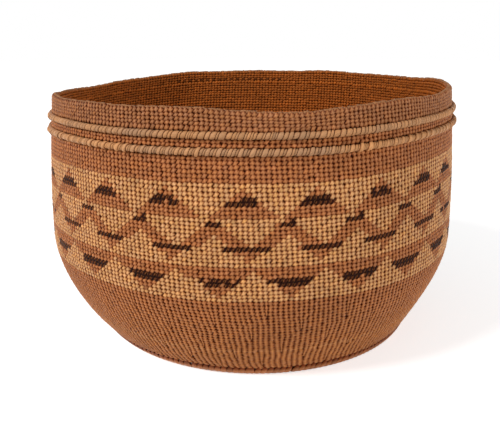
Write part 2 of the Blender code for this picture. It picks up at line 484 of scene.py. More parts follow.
def cut_across(places, axis):
    """Cuts the active piece across this axis at each place, so that it can bend there."""
    bpy.ops.object.mode_set(mode="EDIT")
    for place in places:
        bpy.ops.mesh.select_all(action="SELECT")
        bpy.ops.mesh.bisect(plane_co=[float(place) * part for part in axis], plane_no=axis)
    bpy.ops.object.mode_set(mode="OBJECT")
    bpy.ops.object.shade_smooth()


def select_vertices(piece, wanted):
    """Selects, in edit mode, the vertices whose place passes the test."""
    bpy.ops.mesh.select_mode(type="VERT")
    bpy.ops.mesh.select_all(action="DESELECT")
    bpy.ops.object.mode_set(mode="OBJECT")
    for vertex in piece.data.vertices:
        vertex.select = wanted(vertex.co)
    bpy.ops.object.mode_set(mode="EDIT")


def model_turn(name, sides, rings):
    """One turn of strand over a rod: it lies along X, domed towards +Z on a flat underside."""
    piece = add_primitive(
        bpy.ops.mesh.primitive_uv_sphere_add,
        segments=sides, ring_count=rings, radius=0.5, rotation=(0.0, math.radians(90), 0.0),
    )
    piece.name = name
    bpy.ops.object.mode_set(mode="EDIT")
    select_vertices(piece, lambda place: place.z < -0.01)
    bpy.ops.mesh.delete(type="VERT")
    select_vertices(piece, lambda place: place.z < 0.01)
    bpy.ops.mesh.edge_face_add()
    # The ends tuck down between the rods.
    select_vertices(piece, lambda place: abs(place.x) > 0.49)
    bpy.ops.transform.translate(value=(0.0, 0.0, -0.22))
    bpy.ops.mesh.select_all(action="SELECT")
    bpy.ops.mesh.normals_make_consistent(inside=False)
    bpy.ops.object.mode_set(mode="OBJECT")
    bpy.ops.object.shade_smooth()
    return piece


def repeat(piece, count):
    """Turns the piece into that many copies of itself, in one mesh, and gives the mesh."""
    deselect_all()
    piece.select_set(True)
    bpy.context.view_layer.objects.active = piece
    bpy.ops.object.modifier_add(type="ARRAY")
    array = piece.modifiers[-1]
    array.count = count
    array.use_relative_offset = False
    array.use_constant_offset = False
    bpy.ops.object.modifier_apply(modifier=array.name)
    return piece.data


def points_of(mesh, copies):
    """The mesh's points, one row for each copy."""
    flat = np.empty(len(mesh.vertices) * 3, np.float32)
    mesh.vertices.foreach_get("co", flat)
    return flat.reshape(copies, -1, 3).astype(float)


def set_points(mesh, points):
    """Moves the mesh's points to these places."""
    mesh.vertices.foreach_set("co", points.astype(np.float32).ravel())
    mesh.update()


def paint(mesh, colours):
    """Stores a colour for each point, which the strand materials read."""
    layer = mesh.attributes.new("strand_colour", "FLOAT_COLOR", "POINT")
    flat = np.ones((len(mesh.vertices), 4), np.float32)
    flat[:, :3] = colours.reshape(-1, 3)
    layer.data.foreach_set("color", flat.ravel())


def lay_grain(mesh, along, across):
    """Stores, as a UV map, how far along and across its strand each point is, for the fibres."""
    layer = mesh.uv_layers.new(name="strand")
    corners = np.empty(len(mesh.loops), np.int32)
    mesh.loops.foreach_get("vertex_index", corners)
    grain = np.stack((along.ravel()[corners], across.ravel()[corners]), axis=-1)
    layer.data.foreach_set("uv", grain.astype(np.float32).ravel())


def finish_piece(piece, name, materials, slot, *nodes):
    """Names the piece, gives it its materials, hangs it on its body and hides the imported parts that it
    stands for.
    """
    piece.name = name
    piece.data.name = name
    for material in materials:
        piece.data.materials.append(material)
    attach(piece, BODY)
    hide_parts(*nodes)


# Materials.


# The fibres are long and narrow: how often they change along and across a strand.
FIBRE_STRETCH = (2.5, 16.0, 1.0)


def add_node(tree, kind, values=None, **settings):
    """A new node with these settings, and with these values in its sockets."""
    node = tree.nodes.new(kind)
    for name, setting in settings.items():
        setattr(node, name, setting)
    fill_sockets(node, values or {})
    return node


def fill_sockets(node, values):
    """Sets the sockets of the node that these values are listed for."""
    for socket, value in values.items():
        node.inputs[socket].default_value = value


def strand_material(name, roughness, streaks, relief, gloss=0.25):
    """A split strand: its painted colour, streaked along its length, with fine raised fibres."""
    if name in bpy.data.materials:
        return bpy.data.materials[name]
    material = bpy.data.materials.new(name)
    material.use_nodes = True
    tree = material.node_tree
    links = tree.links
    shader = tree.nodes["Principled BSDF"]
    fill_sockets(shader, {"Roughness": roughness, "Specular IOR Level": gloss})

    painted = add_node(tree, "ShaderNodeAttribute", attribute_name="strand_colour")
    grain = add_node(tree, "ShaderNodeUVMap", uv_map="strand")
    stretched = add_node(tree, "ShaderNodeMapping", {"Scale": FIBRE_STRETCH})
    fibres = add_node(tree, "ShaderNodeTexNoise", {"Scale": 1.0, "Detail": 4.0})
    shade = add_node(
        tree, "ShaderNodeMapRange",
        {"From Min": 0.3, "From Max": 0.7, "To Min": 1.0 - streaks, "To Max": 1.0 + streaks},
    )
    mix = add_node(tree, "ShaderNodeMix", {0: 1.0}, data_type="RGBA", blend_type="MULTIPLY")
    bump = add_node(tree, "ShaderNodeBump", {"Strength": 0.6, "Distance": relief})

    links.new(grain.outputs["UV"], stretched.inputs["Vector"])
    links.new(stretched.outputs["Vector"], fibres.inputs["Vector"])
    links.new(fibres.outputs["Fac"], shade.inputs["Value"])
    links.new(painted.outputs["Color"], mix.inputs[6])
    links.new(shade.outputs["Result"], mix.inputs[7])
    links.new(mix.outputs[2], shader.inputs["Base Color"])
    links.new(fibres.outputs["Fac"], bump.inputs["Height"])
    links.new(bump.outputs["Normal"], shader.inputs["Normal"])
    return material


def weft_materials():
    """Root, bear grass and fern stem, in the order of their numbers."""
    return (
        strand_material("split_root_strand", 0.48, 0.16, 0.00008, gloss=0.09),
        strand_material("bear_grass_strand", 0.45, 0.10, 0.00005, gloss=0.14),
        strand_material("fern_stem_strand", 0.40, 0.30, 0.00004, gloss=0.04),
    )


def rod_wood():
    """The split and scraped rods."""
    return strand_material("rod_wood", 0.7, 0.2, 0.00008)


# Weaving.


class Style(NamedTuple):
    """How the turns of a run look, each value as a share of the turn's own place in the weave."""

    length: float
    height: float
    taper: float
    lean: float
    droop: float
    bulge: float
    overlap: float
    # The last two are how much painted shade darkens the edges of each turn, and its ends and corners, where
    # four turns leave a hole.
    crease: float
    hole: float


BEADS = Style(
    length=1.32, height=1.55, taper=0.68, lean=0.24, droop=0.12,
    bulge=1.15, overlap=0.5, crease=0.20, hole=2.2,
)
RIBS = Style(
    length=1.28, height=1.60, taper=0.80, lean=0.18, droop=0.04,
    bulge=1.2, overlap=0.2, crease=0.12, hole=2.2,
)
HEEL_RIBS = Style(
    length=1.26, height=1.75, taper=0.80, lean=0.14, droop=0.0,
    bulge=1.3, overlap=0.0, crease=0.08, hole=2.0,
)
INSIDE = Style(
    length=1.30, height=1.26, taper=0.40, lean=0.18, droop=0.08,
    bulge=0.9, overlap=0.4, crease=0.15, hole=0.45,
)

# How much more the stiff fern stem slants than the rest.
FERN_SLANT = 1.8
# Painted shade: what is left of a strand's colour where it is tucked between its neighbours.
CREVICE_SHADE = np.array((0.26, 0.09, 0.02))


class Turns:
    """The turns of strand of some courses: where each lies, how big it is and what it is made of."""

    def __init__(self, rods, courses, seed):
        self.random = np.random.default_rng(seed)
        rods_met, angles, widths, slopes = [], [], [], []
        for course in courses:
            there = np.flatnonzero(rods.shares(course.arc) > LEAST_WOVEN_SHARE)
            angle, width = rods.stand(course.arc)
            above, below = (rods.stand(course.arc + side * course.height / 2)[0] for side in (-1, 1))
            rods_met.append(there)
            angles.append(angle[there])
            widths.append(width[there])
            slopes.append((below - above)[there] / course.height)
        lengths = [len(there) for there in rods_met]
        self.rod = np.concatenate(rods_met)
        self.angle = np.concatenate(angles)
        self.width = np.concatenate(widths)
        self.slope = np.concatenate(slopes)
        self.course = np.repeat(np.arange(len(courses)), lengths)
        self.arc = np.repeat([course.arc for course in courses], lengths)
        self.height = np.repeat([course.height for course in courses], lengths)
        self.number = len(self.rod)
        self.kind = np.zeros(self.number, int)
        self.colour = np.zeros((self.number, 3))

    def even(self, spread):
        """A random share for each turn, round 1."""
        return 1.0 + self.random.uniform(-spread, spread, self.number)


def course_wave(angle, arc):
    """How far the courses wander: the rim dips, and they sink at the left and climb at the right."""

    def hump(middle, spread):
        return swell(angle, math.radians(middle), math.radians(spread))

    dip = 0.0006 + 0.0024 * hump(11, 10) + 0.0010 * hump(48, 14)
    dip = dip + 0.0005 * np.sin(6 * angle + 1.0) + 0.0004 * np.sin(13 * angle + 2.0)
    dip = dip * (1 - ramp(arc, 0.0, RIM_DIP_REACH))
    sunk = 0.0032 * hump(-80, 28) * np.exp(-(((arc - 0.050) / 0.045) ** 2))
    climbed = 0.0040 * hump(60, 28) * np.exp(-(((arc - 0.072) / 0.042) ** 2))
    return dip + sunk - climbed + 0.0003 * np.sin(7 * angle - 25 * arc)


def patches(angle, arc):
    """Slow changes of tone over the wall, from -1 to 1."""
    slow = np.sin(3 * angle + 21 * arc + 0.8) + np.sin(5 * angle - 34 * arc + 2.1)
    return (slow + np.sin(11 * angle + 60 * arc) + np.sin(19 * angle - 110 * arc + 1.0)) / 4


def weave(unit, wall, turns, style, inside=False):
    """Lays a copy of the unit for every turn on the wall, and stores its colour and grain."""
    sizes = wall.sizes
    mesh = repeat(unit, turns.number)
    points = points_of(mesh, turns.number)
    spans = points.max(axis=(0, 1)) - points.min(axis=(0, 1))
    along = points[..., 0] / spans[0]
    across = points[..., 1] / spans[1]
    out = (points[..., 2] - points[..., 2].min()) / spans[2]

    def column(values):
        return np.asarray(values)[..., None]

    length = column(style.length * turns.width * turns.even(0.04))
    height = column(style.height * turns.height * turns.even(0.05)) * (1 - style.taper * (2 * along) ** 2)
    slant = 1 + FERN_SLANT * (turns.kind == FERN) + turns.random.normal(0.0, 0.4, turns.number)
    lean = column(style.lean * slant * turns.height)
    shift = column(turns.random.normal(0.0, 0.05, turns.number) * turns.width)
    lift = column(turns.random.normal(0.0, 0.06, turns.number) * turns.height)
    proud = column(sizes.weft_thickness * style.bulge * (1 + turns.random.normal(0.0, 0.07, turns.number)))
    # Each turn stands out most at its lower edge, where it overlaps the course below.
    proud = proud * (1 - style.overlap * across)

    side = -1.0 if inside else 1.0
    down = lift - across * height
    angle = column(turns.angle) + side * along * length + shift + column(turns.slope) * down
    arc = column(turns.arc) + down - lean * 2 * along + style.droop * column(turns.height) * (2 * along) ** 2
    arc += course_wave(angle, column(turns.arc))
    rod_face = sizes.weft_thickness + LAYER_GAP
    if inside:
        rod_face += sizes.warp_thickness + LAYER_GAP
        depth = rod_face + out * (proud + LAYER_GAP) - LAYER_GAP
    else:
        depth = rod_face + LAYER_GAP - out * (proud + 2 * LAYER_GAP)
    set_points(mesh, wall.place(angle, arc, depth))

    # Painted shade: the tucked ends are darkened, and most of all the corners, where four turns leave a hole.
    end = ramp(np.abs(along) * style.length, 0.22, 0.48)
    edge = ramp(np.abs(across) * style.height, 0.12, 0.42)
    unshaded = np.clip(1.0 - style.hole * end * (0.25 + 0.75 * edge) - style.crease * edge, 0.0, 1.0)
    # The fern stem slants over the root that it lies on, which shows at two corners of each turn; there the
    # painted shade is lighter.
    bare = ramp(-4 * along * across, 0.15, 0.35) * column(turns.kind == FERN)
    unshaded = np.maximum(unshaded, 0.9 * bare)
    colour = mixed(turns.colour[:, None, :], bpy.context.scene.basket_colours.root, bare[..., None])
    paint(mesh, colour * shaded(unshaded))
    offset = column(turns.random.uniform(0.0, 50.0, turns.number))
    lay_grain(mesh, along + offset, across + offset)
    faces = len(mesh.polygons) // turns.number
    mesh.polygons.foreach_set("material_index", np.repeat(turns.kind, faces).astype(np.int32))
    return unit


def mixed(first, second, share):
    """The first colour where the share is 0, and the second where it is 1."""
    return np.asarray(first) * (1 - share) + np.asarray(second) * share


def shaded(unshaded):
    """What is left of the colour under painted shade: from 0 in a crevice, where the shade is deepest, to 1
    on top, where there is none.
    """
    return CREVICE_SHADE + (1 - CREVICE_SHADE) * unshaded[..., None]


def tint(turns, base, tone=0.08, warmth=0.05, patch=0.07):
    """A colour for every turn: the strand's own, lighter or darker, warmer or cooler, in slow patches."""
    light = 1 + turns.random.normal(0.0, tone, turns.number) + patch * patches(turns.angle, turns.arc)
    warm = turns.random.normal(0.0, warmth, turns.number)
    shift = np.stack((1 + 0.3 * warm, np.ones(turns.number), 1 - warm), axis=-1)
    return np.clip(np.asarray(base) * light[:, None] * shift, 0.0, 1.0)


def courses_of(courses, node):
    """The courses that stand for this node."""
    return [course for course in courses if course.node == node]


def figure_middles():
    """The middles of the top figures all round, in rods from the front."""
    first = FRONT_FIGURES[0]
    last = FRONT_FIGURES[-1]
    rods = bpy.context.scene.basket_sizes.rods_at_belly
    unseen = FIGURES_ROUND - len(FRONT_FIGURES)
    behind = np.linspace(last, first + rods, unseen + 2)[1:-1].round()
    return np.concatenate((FRONT_FIGURES, behind))


def pattern_kinds(rods_round):
    """The strand of every turn in the pattern: one line for each course, one place for each rod."""
    random = np.random.default_rng(41)
    tops = figure_middles()
    steps = np.diff(np.append(tops, tops[0] + rods_round))
    mids = tops + np.round(steps / 2) + 1
    rows = sum(run.courses for run in WALL_RUNS if run.node in PATTERN_RUNS)
    kinds = np.full((rows, rods_round), GRASS)

    def fill(row, middle, left, right, kind):
        """Strands of this kind in one row, from left to right of the middle, both ends in."""
        first = int(middle + rods_round / 2) + left
        places = np.arange(first, first + right - left + 1) % rods_round
        kinds[row, places] = kind

    def ragged():
        """0 or 1, because the dark strand starts and stops unevenly."""
        return int(random.integers(0, 2))

    # From above: row 0 is the upper border, 1 to 7 the upper figures, 8 to 17 the zigzag, 18 and 19 the
    # middle border, 20 to 22 the divider, 23 to 27 the lower figures and 28 the lower border.
    kinds[20:23] = ROOT
    for top in tops:
        for row in range(1, 8):
            fill(row, top, 1 - row, row - 1, ROOT)
        fill(3, top, -2, 1 + ragged(), FERN)
        fill(4, top, -3, 2 + ragged(), FERN)
        fill(15, top, -4 + ragged(), 3 + ragged(), FERN)
        fill(16, top, -2, 2, ROOT)
        fill(17, top, -1 + ragged(), 1, ROOT)
        fill(18, top, 0, 0, ROOT)
        fill(21, top, 1, 1, GRASS)
        fill(22, top, 0, 2, GRASS)
    for mid in mids:
        fill(8, mid, 0, 0, ROOT)
        if random.random() < 0.3:
            fill(8, mid, 1, 1, FERN)
        fill(9, mid, -1 - ragged(), 1, FERN)
        for row in range(10, 15):
            fill(row, mid, 8 - row, row - 8, ROOT)
        fill(12, mid, 0, 0, GRASS)
        fill(13, mid, -1, 1, GRASS)
        fill(14, mid, -2, 2, GRASS)
        fill(23, mid, -3 - ragged(), 4, FERN)
        fill(24, mid, -2 - ragged(), 2 + ragged(), FERN)
        fill(25, mid, -2, 2, ROOT)
        fill(26, mid, -1, 1, ROOT)
        fill(27, mid, 0, 0, ROOT)
    worn = random.random(kinds.shape) < WORN_SHARE
    kinds[(kinds == FERN) & worn] = ROOT
    return kinds


def weft_unit():
    """The turn of strand that shows all over the outside of the wall."""
    return model_turn("turn_of_strand", 8, 6)


def basket_of(context):
    """The basket's colours, its wall and its rods."""
    wall = Wall(context.scene.basket_sizes)
    return context.scene.basket_colours, wall, Rods(wall)


def weave_plain(context, node, colour, style, seed, slot, parts=1, colour_below=None, **tones):
    """A run of plain courses, in one piece or more, whose colour may change on the way down."""
    _, wall, rods = basket_of(context)
    courses = courses_of(wall_courses()[0], node)
    name = node.replace("_courses", "_turns").replace("_course", "_turns")
    for part, run in enumerate(np.array_split(np.arange(len(courses)), parts)):
        turns = Turns(rods, [courses[index] for index in run], seed + 100 * part)
        down = (run[turns.course] / len(courses))[:, None]
        turns.colour = tint(turns, mixed(colour, colour_below or colour, down), **tones)
        piece = weave(weft_unit(), wall, turns, style)
        finish_piece(piece, f"{name}_{part + 1}" if parts > 1 else name, weft_materials(), slot, node)


class BASKET_OT_weave_rim(bpy.types.Operator):
    """Weaves the courses above and between the hoops"""

    bl_idname = "basket.weave_rim"
    bl_label = "Weave the rim"

    def execute(self, context):
        colours = context.scene.basket_colours
        weave_plain(context, "rim_edge_course", colours.rim_root, BEADS, 11, "root_weft_pale")
        weave_plain(context, "rim_courses", colours.rim_root, BEADS, 12, "root_weft")
        weave_plain(context, "collar_courses", colours.root, BEADS, 13, "root_weft")
        return {"FINISHED"}


class BASKET_OT_weave_plain_wall(bpy.types.Operator):
    """Weaves the plain courses above the pattern, and those below it down to the turn of the base"""

    bl_idname = "basket.weave_plain_wall"
    bl_label = "Weave the plain wall"

    def execute(self, context):
        colours = context.scene.basket_colours
        weave_plain(context, "upper_wall_courses", colours.root, BEADS, 21, "root_weft")
        weave_plain(
            context, "lower_wall_courses", colours.root, RIBS, 22, "root_weft", parts=2,
            colour_below=tuple(colours.heel_root), tone=0.05,
        )
        pale_root = tuple(mixed(colours.heel_root, colours.grass, 0.25))
        weave_plain(context, "heel_line_course", pale_root, HEEL_RIBS, 23, "root_weft_pale", tone=0.05)
        weave_plain(context, "heel_courses", colours.heel_root, HEEL_RIBS, 24, "root_weft", tone=0.05)
        return {"FINISHED"}


class BASKET_OT_weave_pattern(bpy.types.Operator):
    """Weaves the band of stepped figures, with its overlay of bear grass and fern stem"""

    bl_idname = "basket.weave_pattern"
    bl_label = "Weave the pattern"

    def execute(self, context):
        colours, wall, rods = basket_of(context)
        courses, _ = wall_courses()
        kinds = pattern_kinds(rods.number)
        row = 0
        for seed, node in enumerate(PATTERN_RUNS, start=31):
            run = courses_of(courses, node)
            turns = Turns(rods, run, seed)
            turns.kind = kinds[row + turns.course, turns.rod]
            row += len(run)
            strands = np.stack(
                (
                    tint(turns, colours.root),
                    tint(turns, colours.grass, tone=0.08, warmth=0.06),
                    tint(turns, colours.fern, tone=0.25),
                )
            )
            turns.colour = strands[turns.kind, np.arange(turns.number)]
            piece = weave(weft_unit(), wall, turns, BEADS)
            grassy = node.endswith("border_overlay")
            slot = "root_weft" if node == "divider_courses" else "figure_overlay"
            name = node.replace("_overlay", "_turns").replace("_courses", "_turns")
            finish_piece(piece, name, weft_materials(), "bear_grass" if grassy else slot, node)
        return {"FINISHED"}


class BASKET_OT_weave_base(bpy.types.Operator):
    """Weaves the base, the thick course at its turn, and the courses round the crossed rods of the start"""

    bl_idname = "basket.weave_base"
    bl_label = "Weave the base"

    def execute(self, context):
        colours, wall, rods = basket_of(context)
        courses, _ = wall_courses()
        base = base_courses(wall, courses[-1].height)
        for seed, node in ((51, "base_courses"), (52, "start_courses")):
            turns = Turns(rods, courses_of(base, node), seed)
            turns.colour = tint(turns, colours.base_root)
            piece = weave(model_turn("base_turn", 6, 4), wall, turns, RIBS)
            finish_piece(piece, node.replace("_courses", "_turns"), weft_materials(), "base_weft", node)
        self.weave_edge(wall, rods, colours)
        return {"FINISHED"}

    def weave_edge(self, wall, rods, colours):
        """The thick course: each turn wraps the corner from the heel to the underside."""
        height = BASE_EDGE_RISE + BASE_EDGE_UNDER
        middle = wall.edge_arc + (BASE_EDGE_UNDER - BASE_EDGE_RISE) / 2
        turns = Turns(rods, [Course("base_edge_course", middle, height)], 53)
        turns.colour = tint(turns, mixed(colours.base_root, colours.heel_root, 0.7), tone=0.12)
        unit = add_primitive(
            bpy.ops.mesh.primitive_uv_sphere_add,
            segments=8, ring_count=8, radius=0.5, rotation=(math.radians(90), 0.0, 0.0),
        )
        bpy.ops.object.mode_set(mode="EDIT")
        bpy.ops.mesh.select_all(action="SELECT")
        thick = wall.sizes.weft_thickness + BASE_EDGE_PROUD
        length = 2 * math.pi * wall.sizes.base_radius / wall.sizes.rods_at_base
        bpy.ops.transform.resize(value=(length, height, thick))
        bpy.ops.object.mode_set(mode="OBJECT")
        mesh = repeat(unit, turns.number)
        points = points_of(mesh, turns.number)
        along = points[..., 0] / length
        across = points[..., 1] / height
        out = np.sqrt(np.clip(points[..., 2] / thick + 0.5, 0.0, 1.0))
        aside = along * BASE_EDGE_OVERLAP + across * BASE_EDGE_SLANT
        angle = turns.angle[:, None] + aside * turns.width[:, None]
        arc = middle - across * height * BASE_EDGE_REACH
        swollen = BASE_EDGE_SWELL * ramp(wall.edge_arc - arc, 0.0, 0.002)
        depth = thick - out * (thick + swollen) - BASE_EDGE_PROUD + LAYER_GAP * (1 - out)
        outward = 2 * np.abs(across)
        depth += BASE_EDGE_TUCK * ramp(outward, 0.55, 1.0) ** 2
        set_points(mesh, wall.place(angle, arc, depth))
        # Painted shade: the turns are darkened where they lie low and towards their tucked ends, which draws
        # a dark line between the ribs of the heel and the thick course.
        unshaded = ramp(out, 0.72, 0.92) * (1 - ramp(outward, 0.55, 0.8))
        paint(mesh, turns.colour[:, None, :] * shaded(unshaded))
        offset = turns.random.uniform(0.0, 50.0, turns.number)[:, None]
        lay_grain(mesh, across + offset, along + offset)
        finish_piece(unit, "base_edge_turns", weft_materials()[:1], "base_weft", "base_edge_course")


class BASKET_OT_weave_inside(bpy.types.Operator):
    """Weaves the turns of the weft that show inside"""

    bl_idname = "basket.weave_inside"
    bl_label = "Weave the inside"

    def execute(self, context):
        colours, wall, rods = basket_of(context)
        outside, hoops = wall_courses()
        half = HOOP_WIDTH / 4
        behind_hoops = [
            Course("inside", middle + side * half, 2 * half) for middle in hoops for side in (-1, 1)
        ]
        courses = sorted([*outside, *behind_hoops], key=lambda course: course.arc)
        belly = wall.arc_at_height(wall.sizes.belly_height)
        upper = [course for course in courses if course.arc < belly]
        lower = [course for course in courses if course.arc >= belly]
        for share in BEHIND_EDGE:
            lower.append(Course("inside", wall.edge_arc - share * BASE_EDGE_RISE, BASE_EDGE_RISE / 2))
        floor = base_courses(wall, outside[-1].height)
        for share in BEHIND_EDGE:
            floor.insert(0, Course("inside", wall.edge_arc + share * BASE_EDGE_UNDER, BASE_EDGE_UNDER / 2))
        shoulder = len(upper) // 2
        heel = len(lower) // 2
        pieces = (
            ("inside_turns_rim", upper[:shoulder], "inside_weft_upper"),
            ("inside_turns_shoulder", upper[shoulder:], "inside_weft_upper"),
            ("inside_turns_belly", lower[:heel], "inside_weft_lower"),
            ("inside_turns_heel", lower[heel:], "inside_weft_lower"),
            ("inside_turns_floor", floor, "inside_weft_floor"),
        )
        for seed, (name, run, node) in enumerate(pieces, start=61):
            turns = Turns(rods, run, seed)
            turns.colour = tint(turns, colours.inside_root, tone=0.10)
            turns.colour *= (1 + turns.random.normal(0.0, 0.10, len(run)))[turns.course][:, None]
            # Behind the upper hoop every other turn, where the strand that lashes the hoop passes, is
            # darkened.
            pinched = (np.abs(turns.arc - LASHED_ARC) < 0.0015) & (turns.rod % 2 == 0)
            near = np.cos(turns.angle - LASHED_ANGLE) > math.cos(LASHED_SPREAD)
            turns.colour[pinched & near] *= LASHED_TONE
            piece = weave(model_turn("inside_turn", 6, 4), wall, turns, INSIDE, inside=True)
            finish_piece(piece, name, weft_materials()[:1], "inside_weft", node)
        return {"FINISHED"}


class BASKET_OT_lay_rods(bpy.types.Operator):
    """Lays the rods side by side from the start to the trimmed rim"""

    bl_idname = "basket.lay_rods"
    bl_label = "Lay the rods"

    def execute(self, context):
        colours, wall, rods = basket_of(context)
        rod = add_primitive(
            bpy.ops.mesh.primitive_cylinder_add, vertices=6, radius=0.5, depth=1.0, location=(0.0, 0.0, 0.5)
        )
        cut_across(np.arange(1, ROD_STATIONS) / ROD_STATIONS, (0.0, 0.0, 1.0))
        mesh = repeat(rod, rods.number)
        points = points_of(mesh, rods.number)

        sampled = np.linspace(0.0, wall.middle_arc, ROD_SAMPLES)
        angles = np.empty((len(sampled), rods.number))
        widths = np.zeros((len(sampled), rods.number))
        for index, arc in enumerate(sampled):
            angles[index], widths[index] = rods.stand(arc)
        random = np.random.default_rng(71)
        tip = -WARP_TIP + random.uniform(-WARP_TIP / 2, WARP_TIP / 2, rods.number)
        low = np.minimum(rods.lowest, wall.middle_arc - START_CROSS)[:, None]
        up = points[..., 2]
        # A third of each long rod lies under the base, and is bent up sharply at the base's edge.
        turn = np.minimum(low, wall.edge_arc)
        station = up * ROD_STATIONS
        rise = ramp(station, UNDER_STATIONS, ROD_STATIONS) ** 1.3
        arc = low + (turn - low) * ramp(station, 0.0, UNDER_STATIONS)
        arc = arc + (tip[:, None] - turn) * rise
        angle = np.empty_like(arc)
        width = np.empty_like(arc)
        for number in range(rods.number):
            angle[number] = np.interp(arc[number], sampled, angles[:, number])
            width[number] = np.interp(arc[number], sampled, widths[:, number])
        middle = wall.sizes.weft_thickness + LAYER_GAP + wall.sizes.warp_thickness / 2
        set_points(mesh, wall.place(
            angle + points[..., 0] * width * ROD_OVERLAP,
            arc + course_wave(angle, arc) * (up > 0.9),
            middle - points[..., 1] * wall.sizes.warp_thickness,
        ))
        # The rods are painted dark as shade for the holes between the strands; their trimmed tips are paler.
        fresh = ramp(up, 0.985, 0.995)[..., None]
        tone = (1 + random.normal(0.0, 0.12, rods.number))[:, None, None]
        paint(mesh, mixed(colours.rod, colours.rod_tip, fresh) * tone)
        lay_grain(mesh, points[..., 1], up * 40 + np.arange(rods.number)[:, None])
        finish_piece(rod, "rods", (rod_wood(),), "warp_rod", "warp_rods")
        self.plait_start(wall, colours)
        return {"FINISHED"}

    def plait_start(self, wall, colours):
        """The first rods of all, plaited over and under each other in the middle of the base."""
        start = add_primitive(
            bpy.ops.mesh.primitive_cylinder_add,
            vertices=8, radius=0.5, depth=1.0, rotation=(0.0, math.radians(90), 0.0),
        )
        cut_across(np.linspace(-0.5, 0.5, 18)[1:-1], (1.0, 0.0, 0.0))
        mesh = repeat(start, 2 * START_RODS)
        points = points_of(mesh, 2 * START_RODS)
        pitch = 2 * START_CROSS / START_RODS
        lane = (np.arange(2 * START_RODS) % START_RODS)[:, None]
        crosswise = (np.arange(2 * START_RODS) >= START_RODS)[:, None]
        middle_lane = (START_RODS - 1) / 2
        along = points[..., 0] * START_ROD_LENGTH
        across = (lane - middle_lane + points[..., 1] * 1.05) * pitch
        over = np.cos(math.pi * (along / pitch + middle_lane + lane)) * np.where(crosswise, -1, 1)
        height = BASE_EDGE_PROUD + wall.sizes.weft_thickness + LAYER_GAP + wall.sizes.warp_thickness / 2
        height = height + over * START_ROD_WAVE + points[..., 2] * START_ROD_THICKNESS
        x = np.where(crosswise, across, along)
        y = np.where(crosswise, along, across)
        set_points(mesh, wall.turn(np.arctan2(x, -y), np.hypot(x, y), height))
        # Painted shade: each rod is darker where it passes under the rods that cross it.
        paint(mesh, np.asarray(colours.base_root) * shaded(0.6 + 0.4 * over))
        lay_grain(mesh, along * 300 + lane, across * 300)
        finish_piece(start, "start_rods", (rod_wood(),), "warp_rod", "warp_rods")


